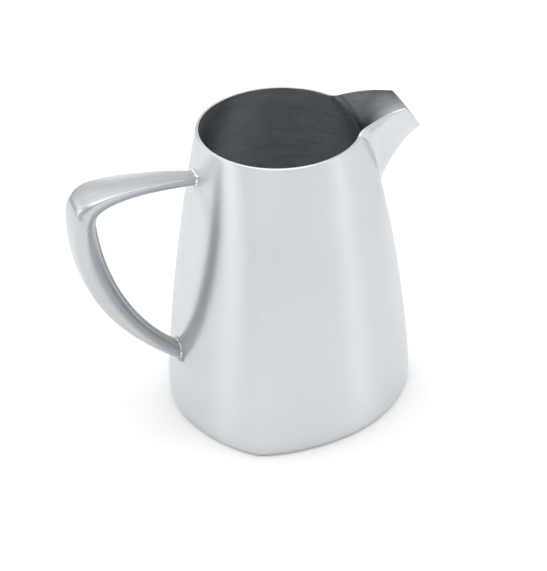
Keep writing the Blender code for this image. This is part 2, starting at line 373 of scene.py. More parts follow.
def mix_colors(tree, factor, first, second):
    """A colour mix; first is a socket or a colour, and second is a colour."""
    node = add_node(tree, "ShaderNodeMix", {"data_type": "RGBA"})
    tree.links.new(factor, node.inputs["Factor"])
    a, b = node.inputs[6], node.inputs[7]
    if isinstance(first, bpy.types.NodeSocket):
        tree.links.new(first, a)
    else:
        a.default_value = (*first, 1.0)
    b.default_value = (*second, 1.0)
    return node.outputs[2]


def mix_values(tree, factor, first, second):
    """first + factor * (second - first), of a socket and a number."""
    difference = math_node(tree, "SUBTRACT", second, first)
    return math_node(tree, "MULTIPLY_ADD", difference, factor, first)


def brushed_steel(name, dark, light, rough, bump, anisotropy, stretch, by_uv, layers=()):
    """Brushed steel: dark and light are the ends of its colour, rough those of its roughness.

    A layer is (group, its output, its settings, colour, roughness).
    """
    material = bpy.data.materials.new(name)
    material.use_nodes = True
    tree = material.node_tree
    shader = tree.nodes["Principled BSDF"]
    shader.inputs["Metallic"].default_value = 1.0
    shader.inputs["Anisotropic"].default_value = anisotropy
    place = add_node(tree, "ShaderNodeTexCoord")
    source = place.outputs["UV" if by_uv else "Object"]
    grain = add_node(tree, "ShaderNodeGroup", {"node_tree": BRUSH_GRAIN})
    grain.inputs["Stretch"].default_value = stretch
    tree.links.new(source, grain.inputs["Vector"])
    tangent = add_node(tree, "ShaderNodeTangent", {"direction_type": "UV_MAP", "uv_map": "brush"})
    tree.links.new(tangent.outputs["Tangent"], shader.inputs["Tangent"])
    sum_of_masks = math_node(tree, "ADD", grain.outputs["Streaks"], grain.outputs["Patches"])
    tint = ramp_between(tree, math_node(tree, "MULTIPLY", sum_of_masks, 0.5), 0.0, 1.0)
    color = mix_colors(tree, tint, dark, light)
    roughness = ramp_between(tree, grain.outputs["Streaks"], *rough)
    for group, output, settings, layer_color, layer_rough in layers:
        mask = add_node(tree, "ShaderNodeGroup", {"node_tree": group})
        for label, value in settings.items():
            mask.inputs[label].default_value = value
        tree.links.new(source, mask.inputs["Vector"])
        color = mix_colors(tree, mask.outputs[output], color, layer_color)
        roughness = mix_values(tree, mask.outputs[output], roughness, layer_rough)
    tree.links.new(color, shader.inputs["Base Color"])
    tree.links.new(roughness, shader.inputs["Roughness"])
    relief = add_node(tree, "ShaderNodeBump", Strength=bump, Distance=SCRATCH_DEPTH)
    tree.links.new(grain.outputs["Streaks"], relief.inputs["Height"])
    tree.links.new(relief.outputs["Normal"], shader.inputs["Normal"])
    return material


AROUND = (6.0, 6.0, 150.0)
INSIDE_AROUND = (5.0, 5.0, 110.0)
ALONG = (30.0, 0.4, 1.0)
ALONG_SEAM = (1.0, 30.0, 1.0)
EVEN = (12.0, 12.0, 12.0)
# The centre and reach of a painted highlight inside the spout, near its lip.
LIP_HIGHLIGHT = (0.0380, 0.0, 0.0868)
LIP_HIGHLIGHT_RADIUS = 0.0115

SATIN_OUTSIDE = brushed_steel(
    "satin_outside", (0.650, 0.683, 0.708), (0.714, 0.747, 0.769), (0.32, 0.39), 0.45, 0.95, AROUND, False)
SATIN_INSIDE = brushed_steel(
    "satin_inside", (0.44, 0.47, 0.48), (0.72, 0.75, 0.76), (0.28, 0.44), 1.0, 0.6, INSIDE_AROUND, False)
# The spout's dark inside colour is painted shade, and its bright spot is a painted highlight.
SPOUT_INSIDE_PAINTED_SHADE = brushed_steel(
    "spout_inside_painted_shade", (0.09, 0.10, 0.106), (0.17, 0.184, 0.192), (0.30, 0.42), 0.6, 0.4, INSIDE_AROUND, False,
    [(PAINTED_HIGHLIGHT_SPOT, "SpotHighlight", {"Centre": LIP_HIGHLIGHT, "Radius": LIP_HIGHLIGHT_RADIUS}, (0.84, 0.87, 0.89), 0.24)])
SEAM_OUTSIDE = brushed_steel(
    "seam_outside", (0.650, 0.683, 0.708), (0.700, 0.732, 0.755), (0.42, 0.48), 0.3, 0.6, AROUND, False)
# The seam's dark inside colour is painted shade, which fades to the wall's inside tone on its side beside
# the wall.
SEAM_INSIDE_PAINTED_SHADE = brushed_steel(
    "seam_inside_painted_shade", (0.08, 0.09, 0.095), (0.15, 0.162, 0.17), (0.34, 0.46), 0.6, 0.4, ALONG_SEAM, True,
    [(ACROSS_SEAM, "Wall", {}, (0.50, 0.53, 0.54), 0.40)])
# The handle's darker inner side is painted shade, and the bright line beside it is a painted highlight.
SATIN_HANDLE = brushed_steel(
    "satin_handle", (0.510, 0.536, 0.557), (0.562, 0.587, 0.605), (0.22, 0.28), 0.25, 0.4, ALONG, True,
    [(HANDLE_SHADE_AND_HIGHLIGHT, "InnerShade", {}, (0.38, 0.40, 0.415), 0.26),
     (HANDLE_SHADE_AND_HIGHLIGHT, "EdgeHighlight", {}, (0.94, 0.95, 0.96), 0.12)])
SATIN_BASE = brushed_steel(
    "satin_base", (0.55, 0.57, 0.59), (0.62, 0.64, 0.66), (0.30, 0.40), 0.4, 0.5, AROUND, False)
POLISHED_WELD = brushed_steel(
    "polished_weld", (0.30, 0.31, 0.32), (0.80, 0.81, 0.82), (0.05, 0.16), 1.0, 0.0, EVEN, False)
print("made", len(bpy.data.materials), "materials")

# %% [markdown]
# ## Body
# The body is drawn from one disc of sheet into a tapered cup. At the foot its outline is a
# triangle with well rounded corners, and at the mouth it is a circle. Such outlines are easiest
# to give by their support function: for each direction, how far the tangent that faces that way
# lies from the axis. The radius is a Bezier curve of the height. Two cosine waves of three and
# six corners are added, which fade out towards the rim.

# %% The body's shape
WALL = 0.8 * MM
RADII = (37.0 * MM, 35.8 * MM, 31.8 * MM, 25.0 * MM)
WAVES = (2.6 * MM, 0.36 * MM)
FOOT_HEIGHT = 6.0 * MM
FOOT_INSET = 1.6 * MM
POLISH = 0.04 * MM


def body_reach(z, angle):
    """Support function: radius(z) + fade(z) * (a cos 3t + b cos 6t), less the turn-in of the foot.

    Returns the reach and its first two derivatives by angle.
    """
    s = z / height
    a, b, c, d = RADII
    radius = a * (1 - s) ** 3 + 3 * b * s * (1 - s) ** 2 + 3 * c * s * s * (1 - s) + d * s ** 3
    turn = np.clip((FOOT_HEIGHT - z) / FOOT_HEIGHT, 0.0, 1.0)
    radius = radius - FOOT_INSET * (1 - np.sqrt(1 - turn * turn)) - POLISH
    fade = 1 - s ** 3
    reach = radius + fade * (WAVES[0] * np.cos(3 * angle) + WAVES[1] * np.cos(6 * angle))
    slope = -fade * (3 * WAVES[0] * np.sin(3 * angle) + 6 * WAVES[1] * np.sin(6 * angle))
    bend = -fade * (9 * WAVES[0] * np.cos(3 * angle) + 36 * WAVES[1] * np.cos(6 * angle))
    return reach, slope, bend


def body_point(z, angle, inset=0.0):
    """The point of the wall's outside whose tangent faces angle, moved in by inset."""
    reach, slope, _ = body_reach(z, angle)
    reach = reach - inset
    x = reach * np.cos(angle) - slope * np.sin(angle)
    y = reach * np.sin(angle) + slope * np.cos(angle)
    return np.stack([x, y, z + 0 * x], axis=-1)


def angle_at(y, z, middle=0.0):
    """The angle near middle (0 or pi) at which the wall passes through y, by Newton's rule."""
    angle = middle + 0 * (y + z)
    for _ in range(12):
        reach, slope, bend = body_reach(z, angle)
        miss = reach * np.sin(angle) + slope * np.cos(angle) - y
        angle = angle - miss / ((reach + bend) * np.cos(angle))
    return angle


def body_normal(z, angle):
    """The wall's outward direction: (cos t, sin t, -d reach / dz), scaled to length one."""
    step = 0.02 * MM
    above = body_reach(np.minimum(z + step, height), angle)[0]
    below = body_reach(np.maximum(z - step, 0.0), angle)[0]
    rise = np.minimum(z + step, height) - np.maximum(z - step, 0.0)
    lean = (above - below) / rise
    return unit(np.stack([np.cos(angle) + 0 * lean, np.sin(angle) + 0 * lean, -lean], axis=-1))


print("radii of the base and of the mouth:", RADII[0] / MM, "and", RADII[-1] / MM, "mm")

# %% [markdown]
# The spout stands on a notch in the wall. The notch has a round throat low down, and flares
# towards the rim. Its two edges are one line, measured by a number p that runs from -1 at one
# rim corner, through 0 at the bottom of the throat, to 1 at the other. The weld along it has
# been ground to a smooth hollow, so wall and spout both stop a little short of the line.

# %% The notch and the seam
ROOT = 67.0 * MM
THROAT = 2.6 * MM
THROAT_ROUND = 4.0 * MM
FLARE = 9.45 * MM
FLARE_POWER = 4


def notch_half_width(z):
    """Half the notch's width: a quarter ellipse for the throat, plus a flare by a power of height."""
    rise = np.maximum(z - ROOT, 0.0)
    short = 1 - np.minimum(rise / THROAT_ROUND, 1.0)
    return THROAT * np.sqrt(1 - short * short) + FLARE * (rise / (height - ROOT)) ** FLARE_POWER


def seam_yz(p):
    """The seam as seen along X: height grows with p squared, and y has the sign of p."""
    z = ROOT + p * p * (height - ROOT)
    return np.sign(p) * notch_half_width(z), z


def hollow_width(p):
    """How far the ground hollow reaches on each side of the seam: narrow at the throat, wide at the rim."""
    return (1.1 + 0.7 * np.abs(p) ** 3) * MM


def wall_edge_yz(p):
    """The wall's edge: the seam moved away from the notch, straight sideways at the rim."""
    y, z = seam_yz(p)
    dy, dz = np.gradient(y), np.gradient(z)
    length = np.hypot(dy, dz)
    turn = np.abs(p) ** 4
    aside = dz / length * (1 - turn) + np.sign(p) * turn
    down = -dy / length * (1 - turn)
    size = np.hypot(aside, down)
    return y + hollow_width(p) * aside / size, z + hollow_width(p) * down / size


SEAM_P = np.linspace(-1.0, 1.0, 161)
wall_edge_y, wall_edge_z = wall_edge_yz(SEAM_P)
half = SEAM_P >= 0
print("the notch starts at", round(float(wall_edge_z.min()) / MM, 2), "mm")

# %% [markdown]
# Sheet has two faces and an edge. A cut edge is rounded over from the outside, and stays crisp
# where it meets the inner face. This helper takes the outer face as a grid, lays the inner face
# one thickness behind it, and joins them by a quarter ellipse. The result is a grid of closed
# loops, so the same few lines serve the wall, the ground seam and the spout.

# %% A sheet's two faces and its edges
EDGE_STEPS = 7
EDGE_ROUND = 0.5
print("a cut edge is rounded over", EDGE_ROUND, "of the sheet's thickness")


def sheet_loops(outer, normal, thickness, round_first, round_last):
    """Closed loops through a sheet, along the grid's first axis.

    A loop runs over the outer face, over the last edge, back over the inner face, and over the
    first edge. A round edge is inner + thickness * cos(t) * normal + round * sin(t) * away.
    """
    inner = outer - normal * thickness
    outer = outer.copy()
    arcs = {}
    for end, near, is_round in ((0, 1, round_first), (-1, -2, round_last)):
        if not is_round:
            continue
        away = unit(outer[end] - outer[near])
        away = unit(away - normal[end] * np.sum(away * normal[end], axis=-1, keepdims=True))
        drop = EDGE_ROUND * thickness * away
        outer[end] -= drop
        t = np.linspace(0, math.pi / 2, EDGE_STEPS + 1)[1:, None, None]
        arcs[end] = inner[end] - drop + np.cos(t) * thickness * normal[end] + np.sin(t) * drop
    parts = [outer]
    if -1 in arcs:
        parts.append(arcs[-1])
    parts.append(inner[::-1])
    if 0 in arcs:
        parts.append(arcs[0][::-1])
    return np.concatenate(parts), len(outer), arcs.get(-1, outer[:0]).shape[0]


def rung_faces(rows, columns, first_row, last_row, column, count_rows, arc_rows):
    """Quads across a sheet's cut edge, like a ladder's rungs, between the outer and the inner face."""
    low = np.arange(first_row, last_row)
    opposite = 2 * count_rows + arc_rows - 1 - low
    return np.stack([
        low * columns + column,
        (low + 1) * columns + column,
        (opposite - 1) * columns + column,
        opposite * columns + column,
    ], axis=-1)

# %% [markdown]
# The wall is one such grid. Below the notch each row runs all the way round, and from the notch
# up it runs from the notch's one edge round to the other. The inside has its own finish.

# %% The body wall
FOOT_ROWS = 12
WALL_ROWS = 60
NOTCH_ROWS = 56
BODY_COLUMNS = 260


def wall_levels():
    """Heights of the rows: even steps round the foot, up the wall, and finer from the throat up."""
    start = float(wall_edge_z.min())
    turn = np.linspace(math.pi / 2, 0, FOOT_ROWS)
    foot = FOOT_HEIGHT * (1 - np.sin(turn))
    wall = np.linspace(FOOT_HEIGHT, start, WALL_ROWS)[1:]
    notch = start + (height - start) * np.linspace(0, 1, NOTCH_ROWS)[1:] ** 2
    return np.concatenate([foot, wall, notch]), FOOT_ROWS + WALL_ROWS - 2


def make_body():
    """The wall: angle runs from one edge of the notch round to the other, at each height."""
    z, root_row = wall_levels()
    edge_y = np.interp(z, wall_edge_z[half], wall_edge_y[half])
    edge_y[: root_row + 1] = 0.0
    start = angle_at(edge_y, z)[:, None]
    around = np.linspace(0, 1, BODY_COLUMNS)[None, :]
    angle = start + around * (2 * math.pi - 2 * start)
    level = z[:, None] + 0 * angle
    outer = body_point(level, angle)
    normal = body_normal(level, angle)
    loops, rows, arc_rows = sheet_loops(outer, normal, WALL, False, True)
    total, columns = loops.shape[:2]
    faces = [grid_faces(total, columns, close_rows=True)]
    is_inside = np.arange(total) >= rows + arc_rows // 2 + 1
    inside = [np.repeat(is_inside, columns - 1)]
    last = rows + arc_rows // 2
    for column in (0, columns - 1):
        rungs = rung_faces(total, columns, root_row, last, column, rows, arc_rows)
        faces.append(rungs)
        inside.append(np.zeros(len(rungs), bool))
    turn = np.linspace(0, 1, total, endpoint=False)[:, None]
    share = angle / (2 * math.pi)
    share = np.concatenate([share, np.repeat(share[-1:], arc_rows, axis=0), share[::-1]])
    uv = np.stack(np.broadcast_arrays(turn, share), axis=-1)
    finishes = [SATIN_OUTSIDE, SATIN_INSIDE]
    piece = make_piece("body_skin", loops, np.concatenate(faces), uv, finishes, np.concatenate(inside))
    return settle(piece, "satin_sheet", "body_wall")


body = make_body()

# %% [markdown]
# ## Spout
# The spout is a trough folded from sheet. It is described by ribs: lines that leave the seam,
# run out along the trough and end at its slanting free end. Each rib is a Bezier curve, and the
# ribs change smoothly from the keel's, which starts straight up the wall, to the top edge's,
# which starts outward.

# %% The spout's ribs
TIP = np.array([44.4, 0.0, 83.4]) * MM
CORNER = np.array([37.9, 6.3, 93.58]) * MM
KEEL_LEAVES = np.array([0.2, 0.0, 4.0]) * MM
KEEL_ARRIVES = np.array([4.9, 0.0, 1.6]) * MM
EDGE_LEAVES = np.array([5.0, -1.8, 1.5]) * MM
EDGE_ARRIVES = np.array([5.0, -1.9, -0.3]) * MM


def mirror_y(vector, sign):
    """A vector repeated for every rib, with its y turned to the rib's side."""
    return vector * np.stack([np.ones_like(sign), sign, np.ones_like(sign)], axis=-1)


def spout_point(p, t):
    """The spout's outside: rib p from -1 to 1, and t from 0 at the seam to 1 at the free end.

    The free end is a rounded V from the tip to its two corners.
    """
    w, sign = np.abs(p), np.where(p >= 0, 1.0, -1.0)
    y, z = seam_yz(p)
    start = body_point(z, angle_at(y, z))
    rise = w * w * (1.6 - 0.6 * w)
    recede = w * w * (1.3 - 0.3 * w)
    end = TIP + (mirror_y(CORNER, sign) - TIP) * np.stack([recede, w, rise], axis=-1)
    mix = (w ** 1.5)[..., None]
    leave = (1 - mix) * KEEL_LEAVES + mix * mirror_y(EDGE_LEAVES, sign)
    arrive = (1 - mix) * KEEL_ARRIVES + mix * mirror_y(EDGE_ARRIVES, sign)
    t = t[..., None]
    bends = (start, start + leave, end - arrive, end)
    weights = ((1 - t) ** 3, 3 * t * (1 - t) ** 2, 3 * t * t * (1 - t), t ** 3)
    return sum(weight * bend for weight, bend in zip(weights, bends))


def spout_start(p):
    """The t at which each rib has run clear of the ground hollow."""
    steps = np.linspace(0, 0.5, 60)
    run = spout_point(p[:, None] + 0 * steps, steps + 0 * p[:, None])
    gone = np.linalg.norm(run - run[:, :1], axis=-1)
    index = np.argmax(gone > hollow_width(p)[:, None], axis=1)
    row = np.arange(len(p))
    before, after = gone[row, index - 1], gone[row, index]
    share = (hollow_width(p) - before) / (after - before)
    return steps[index - 1] + share * (steps[1] - steps[0])


def grid_normal(grid, outward):
    """Normals of a grid of points, on the side that outward points to."""
    across = np.gradient(grid, axis=0)
    along = np.gradient(grid, axis=1)
    normal = unit(np.cross(across, along))
    side = np.sign(np.sum(normal * outward, axis=-1, keepdims=True))
    return normal * np.where(side == 0, 1.0, side)


print("the spout's tip is at", TIP / MM, "mm")

# %% [markdown]
# The spout's sheet starts where its ribs have run clear of the seam. The strip between wall and
# spout is the ground weld: it leaves the wall's face and comes into the spout's without a crease.
# On the side of negative y its edge keeps the bright outside finish all the way over, and the
# painted shade of the inside stops short of it.

# %% Spout sheet and the ground hollow between it and the wall
SPOUT_COLUMNS = 60
HOLLOW_COLUMNS = 14
HOLLOW_REACH = 0.6
TOWARD_SEAM = 0.02


def sheet_piece(name, outer, normal, finishes, slot, *nodes):
    """A sheet open along its second axis, with round edges, and flat ends."""
    loops, rows, arc_rows = sheet_loops(outer, normal, WALL, True, True)
    total, columns = loops.shape[:2]
    faces = [grid_faces(total, columns, close_rows=True)]
    row = np.arange(total)
    is_inside = (row >= rows + arc_rows // 2) & (row < total - arc_rows - 1)
    inside = [np.repeat(is_inside, columns - 1)]
    for column in (0, columns - 1):
        rungs = rung_faces(total, columns, 0, rows - 1, column, rows, arc_rows)
        arc = np.arange(rows - 1, rows + arc_rows // 2)
        opposite = 2 * rows + arc_rows - 1 - arc
        last = np.stack([
            arc * columns + column, (arc + 1) * columns + column,
            (opposite - 1) * columns + column, opposite * columns + column], axis=-1)
        back = np.arange(2 * rows + arc_rows - 1, 2 * rows + arc_rows + arc_rows // 2)
        facing = (total - (back - (2 * rows + arc_rows - 1))) % total
        first = np.stack([
            back * columns + column, ((back + 1) % total) * columns + column,
            ((facing - 1) % total) * columns + column, facing * columns + column], axis=-1)
        faces += [rungs, last, first]
        inside += [np.zeros(len(rungs) + len(last) + len(first), bool)]
    turn = np.linspace(0, 1, total, endpoint=False)[:, None]
    run = np.linspace(0, 0.5, columns)[None, :]
    uv = np.stack(np.broadcast_arrays(run, turn), axis=-1)
    piece = make_piece(
        name, loops, np.concatenate(faces), uv, finishes, np.concatenate(inside))
    return settle(piece, slot, *nodes)


def outward_hint(points, forward, sideways, down):
    """A rough outward direction at each point: forward, away from the middle plane, and down."""
    aside = sideways * np.sign(points[..., 1])
    return np.stack([forward + 0 * aside, aside, 0 * aside - down], axis=-1)


def make_spout():
    """The spout's piece, and the grid of its outer face, which the ground strip joins on to."""
    p = SEAM_P
    start = spout_start(p)
    t = start[:, None] + (1 - start[:, None]) * np.linspace(0, 1, SPOUT_COLUMNS)[None, :]
    outer = spout_point(p[:, None] + 0 * t, t)
    normal = grid_normal(outer, outward_hint(outer, 0.3, 3.0, 0.6))
    finishes = [SATIN_OUTSIDE, SPOUT_INSIDE_PAINTED_SHADE]
    return sheet_piece("spout_skin", outer, normal, finishes, "satin_sheet", "spout"), outer


def make_hollow(spout_outer):
    """Cubic arcs from the wall's edge to the spout's: each leaves the wall and meets the spout smoothly."""
    y, z = wall_edge_y, wall_edge_z
    seam_y, seam_z = seam_yz(SEAM_P)
    wall = body_point(z, angle_at(y, z))
    near_z = np.minimum(z + (seam_z - z) * TOWARD_SEAM, height)
    near_y = y + (seam_y - y) * TOWARD_SEAM
    leave = unit(body_point(near_z, angle_at(near_y, near_z)) - wall)
    spout = spout_outer[:, 0]
    arrive = unit(spout_outer[:, 1] - spout_outer[:, 0])
    reach = hollow_width(SEAM_P)[:, None] * HOLLOW_REACH
    t = np.linspace(0, 1, HOLLOW_COLUMNS)[None, :, None]
    bends = (wall, wall + leave * reach, spout - arrive * reach, spout)
    weights = ((1 - t) ** 3, 3 * t * (1 - t) ** 2, 3 * t * t * (1 - t), t ** 3)
    outer = sum(weight * bend[:, None, :] for weight, bend in zip(weights, bends))
    normal = grid_normal(outer, outward_hint(outer, 1.0, 1.0, 0.3))
    finishes = [SEAM_OUTSIDE, SEAM_INSIDE_PAINTED_SHADE]
    return sheet_piece("spout_seam_ground", outer, normal, finishes, "polished_weld", "spout_seam_weld")


spout, spout_outer = make_spout()
hollow = make_hollow(spout_outer)

# %% [markdown]
# ## Handle
# The handle is one solid casting. Two lines in the jug's middle plane give its outer and inner
# side, each of two Bezier arcs that meet at the top corner. At every station a section is set
# between them: a broad crowned outer face, two bulging sides that draw in, and a narrow crowned
# inner face. The edges between the faces are crisp on the arm and round on the grip.

# %% The handle's shape
HANDLE_OUTER = np.array([
    (-26.6, 80.7), (-47.9, 83.3), (-65.3, 82.7), (-65.3, 75.4),
    (-65.3, 56.3), (-62.7, 39.0), (-33.5, 19.4),
]) * MM
HANDLE_INNER = np.array([
    (-26.8, 78.4), (-53.4, 79.5), (-58.9, 75.6), (-58.9, 71.0),
    (-58.9, 64.7), (-54.5, 38.7), (-33.6, 23.7),
]) * MM
OUTER_WIDTHS = (5.0 * MM, 7.6 * MM)
OUTER_SWELL = 8.5 * MM
INNER_WIDTHS = (5.0 * MM, 4.6 * MM)
OUTER_CROWN = 0.8 * MM
INNER_CROWNS = (0.3 * MM, 0.9 * MM)
SIDE_DEPTHS = (0.30, 0.80)
SIDE_WIDTHS = (1.0, 0.90)
CORNER_AT = 0.44
CORNER_REACH = 0.13
CORNER_PUSH = 0.30 * MM
CORNER_CROWN = -0.3 * MM
CORNER_ROUND = 1.6 * MM
OUTER_SMOOTHING = 2.0 * MM
INNER_SMOOTHING = 1.0 * MM
CRISP_RADIUS = 0.25 * MM
GRIP_RADIUS = 2.4 * MM
SOFTENS_FROM, SOFTENS_OVER = 0.30, 0.16
FOOT_CRISPENS_OVER = 0.3
FOOT_ROUND = 0.2
INNER_RADIUS = 0.3 * MM
HANDLE_STATIONS = 180


def bezier_line(points, u):
    """A line of two cubic Bezier arcs in the plane y = 0: u from 0 to 0.5, and from 0.5 to 1."""
    def arc(four, t):
        t = t[:, None]
        a, b, c, d = four
        return (1 - t) ** 3 * a + 3 * t * (1 - t) ** 2 * b + 3 * t * t * (1 - t) * c + t ** 3 * d

    arm = arc(points[:4], np.minimum(2 * u, 1))
    grip = arc(points[3:], np.maximum(2 * u - 1, 0))
    flat = np.where(u[:, None] <= 0.5, arm, grip)
    return np.stack([flat[:, 0], 0 * u, flat[:, 1]], axis=-1)


def smooth_line(points, u, spread):
    """The line through points(u), averaged over a bell curve of arc length with this spread."""
    fine = np.linspace(0, 1, 600)
    line = bezier_line(points, fine)
    run = np.concatenate([[0], np.cumsum(np.linalg.norm(np.diff(line, axis=0), axis=-1))])
    place = np.interp(u, fine, run)
    room = np.minimum(place, run[-1] - place)
    width = np.minimum(spread, room / 3)
    offset = np.linspace(-2.5, 2.5, 41)
    weight = np.exp(-offset ** 2 / 2)
    samples = place[:, None] + offset[None, :] * width[:, None]
    mean = [(np.interp(samples, run, line[:, axis]) * weight).sum(axis=1) / weight.sum() for axis in (0, 2)]
    return np.stack([mean[0], 0 * u, mean[1]], axis=-1)


def handle_sections(u):
    """Rings of (depth, side) pairs, for each u: depth 0 is the outer line, side is along Y."""
    outer = smooth_line(HANDLE_OUTER, u, OUTER_SMOOTHING)
    inner = smooth_line(HANDLE_INNER, u, INNER_SMOOTHING)
    depth = np.linalg.norm(inner - outer, axis=-1)
    swell = np.sin(math.pi * u ** 0.9)
    bow = np.sin(math.pi * u)
    half_out = 0.5 * (OUTER_WIDTHS[0] * (1 - u) + OUTER_WIDTHS[1] * u + OUTER_SWELL * swell)
    half_in = 0.5 * (INNER_WIDTHS[0] * (1 - u) + INNER_WIDTHS[1] * u)
    corner = np.exp(-((u - CORNER_AT) / CORNER_REACH) ** 2)
    edge_depth = -CORNER_PUSH * corner
    crown_out = OUTER_CROWN * bow + CORNER_CROWN * corner
    crown_in = INNER_CROWNS[0] + INNER_CROWNS[1] * bow
    soften = np.clip((u - SOFTENS_FROM) / SOFTENS_OVER, 0, 1)
    soften = soften * soften * (3 - 2 * soften)
    grip_radius = GRIP_RADIUS * soften * np.clip((1 - u) / FOOT_CRISPENS_OVER, FOOT_ROUND, 1)
    radius_out = CRISP_RADIUS + grip_radius + CORNER_ROUND * corner
    radius_in = INNER_RADIUS + 0 * u

    def outer_face(q):
        depth_out = edge_depth[:, None] - crown_out[:, None] * (1 - q * q)
        return np.stack([depth_out, q * half_out[:, None]], axis=-1)

    def inner_face(q):
        return np.stack([depth[:, None] + crown_in[:, None] * (1 - q * q), q * half_in[:, None]], axis=-1)

    def side_face(t):
        span = depth[:, None]
        weights = ((1 - t) ** 3, 3 * t * (1 - t) ** 2, 3 * t * t * (1 - t), t ** 3)
        alongs = (edge_depth[:, None], SIDE_DEPTHS[0] * span, SIDE_DEPTHS[1] * span, span)
        wide = half_out[:, None]
        acrosses = (wide, SIDE_WIDTHS[0] * wide, SIDE_WIDTHS[1] * wide, half_in[:, None])
        along = sum(weight * value for weight, value in zip(weights, alongs))
        across = sum(weight * value for weight, value in zip(weights, acrosses))
        return np.stack([along, across], axis=-1)

    edge_out = outer_face(np.ones((1, 1)))[:, 0]
    edge_in = inner_face(np.ones((1, 1)))[:, 0]
    side_length = np.linalg.norm(edge_in - edge_out, axis=-1)
    cut_out = radius_out / side_length
    cut_in = radius_in / side_length
    face_cut = radius_out / half_out
    q = np.linspace(0, 1, 9)[None, :] * (1 - face_cut[:, None])
    top = outer_face(q)
    t = cut_out[:, None] + (1 - cut_out - cut_in)[:, None] * np.linspace(0, 1, 16)[None, :]
    side = side_face(t)
    q = np.linspace(1, 0, 6)[None, :] * (1 - (radius_in / half_in)[:, None])
    bottom = inner_face(q)
    turn_out = bend_between(top[:, -2], top[:, -1], side[:, 0], side[:, 1], 12)
    turn_in = bend_between(side[:, -2], side[:, -1], bottom[:, 0], bottom[:, 1], 6)
    right = np.concatenate([top, turn_out, side, turn_in, bottom], axis=1)
    left = right[:, -2:0:-1] * np.array([1.0, -1.0])
    ring = np.roll(np.concatenate([right, left], axis=1), left.shape[1] + 1, axis=1)
    return outer, unit(inner - outer), ring


def bend_between(before, start, end, after, count):
    """Count points of a cubic arc between start and end, which keeps their directions."""
    span = np.linalg.norm(end - start, axis=-1, keepdims=True) * 0.4
    first = start + unit(start - before) * span
    second = end + unit(end - after) * span
    t = np.linspace(0, 1, count + 2)[1:-1][None, :, None]
    weights = ((1 - t) ** 3, 3 * t * (1 - t) ** 2, 3 * t * t * (1 - t), t ** 3)
    return sum(weight * point[:, None] for weight, point in zip(weights, (start, first, second, end)))


def handle_grid(u):
    """The handle's skin as rings of points."""
    outer, inward, ring = handle_sections(u)
    skin = outer[:, None] + inward[:, None] * ring[..., :1]
    skin[..., 1] += ring[..., 1]
    return skin


print("the handle has", HANDLE_STATIONS, "stations")

# %% [markdown]
# Both ends of the casting are cut to the slope of the wall. Each line along the skin is carried
# on in a straight line past the wall, and then ends where it has gone a third of the way into
# the sheet, so that nothing shows on the inside of the jug.

# %% Handle casting, cut to the wall
SUNK = 0.3 * MM
RUN_IN = 5.0 * MM
NEAR_WALL = 12
END_STATIONS = 3
UV_PER_METRE = 4.0


def wall_x(y, z, off):
    """x of the wall on the handle's side, moved out by off."""
    angle = angle_at(y, z, math.pi)
    return body_point(z, angle, -off)[..., 0]


def meet_wall(skin, off):
    """Where each line of the skin, which runs towards the wall, comes to it."""
    step = skin[-1].mean(axis=0) - skin[-2].mean(axis=0)
    carried = skin[-1] + unit(step) * RUN_IN
    lines = np.concatenate([skin, carried[None]])
    outside = wall_x(lines[..., 1], lines[..., 2], off) - lines[..., 0]
    index = np.argmax(outside < 0, axis=0)
    ring = np.arange(lines.shape[1])
    before, after = outside[index - 1, ring], outside[index, ring]
    share = (before / (before - after))[:, None]
    return lines[index - 1, ring] * (1 - share) + lines[index, ring] * share


def make_handle():
    """The casting: rings from the arm's end to the grip's, closed by a cap at each end."""
    u = np.linspace(0, 1, HANDLE_STATIONS)
    skin = handle_grid(u)
    top = meet_wall(skin[:NEAR_WALL][::-1], -SUNK)
    foot = meet_wall(skin[-NEAR_WALL:], -SUNK)
    keep = skin[END_STATIONS:-END_STATIONS]
    skin = np.concatenate([top[None], keep, foot[None]])
    rows, columns = skin.shape[:2]
    faces = [list(face) for face in grid_faces(rows, columns, close_columns=True)]
    faces.append(list(range(columns)))
    faces.append(list(range((rows - 1) * columns, rows * columns)))
    steps = np.linalg.norm(np.diff(skin.mean(axis=1), axis=0), axis=-1)
    length = np.concatenate([[0], np.cumsum(steps)])[:, None]
    round_it = np.linspace(0, 1, columns, endpoint=False)[None, :]
    uv = np.stack(np.broadcast_arrays(round_it, UV_PER_METRE * length), axis=-1)
    piece = make_piece("handle_casting", skin, faces, uv, [SATIN_HANDLE])
    return settle(piece, "satin_casting", "handle")


handle = make_handle()

# %% [markdown]
# ## Welds and base
# Each end of the handle is joined by a small bead run round it by hand, and polished. A bead is
# a round wire along the line where the two skins meet, whose thickness swells and shrinks with
# the welder's steps.

# %% Beads
BEAD_RADIUS = 0.68 * MM
BEAD_SIDES = 14
BEAD_OFF = 0.12 * MM
BEAD_POINTS = 220
RIPPLES = ((0.22, 3, 1.0), (0.20, 7, 2.0))


def tube_piece(name, line, radius, material, slot, *nodes):
    """A closed tube along a closed line: a circle across the line, carried round it."""
    along = unit(np.roll(line, -1, axis=0) - np.roll(line, 1, axis=0))
    middle = line.mean(axis=0)
    aside = unit(np.cross(along, unit(line - middle)))
    outward = np.cross(aside, along)
    turn = np.linspace(0, 2 * math.pi, BEAD_SIDES, endpoint=False)[None, :, None]
    circle = np.cos(turn) * outward[:, None] + np.sin(turn) * aside[:, None]
    tube = line[:, None] + radius[:, None, None] * circle
    rows, columns = tube.shape[:2]
    uv = np.stack(np.broadcast_arrays(
        np.linspace(0, 1, columns, endpoint=False)[None, :],
        np.linspace(0, 1, rows, endpoint=False)[:, None]), axis=-1)
    faces = grid_faces(rows, columns, close_rows=True, close_columns=True)
    piece = make_piece(name, tube, faces, uv, [material])
    return settle(piece, slot, *nodes)


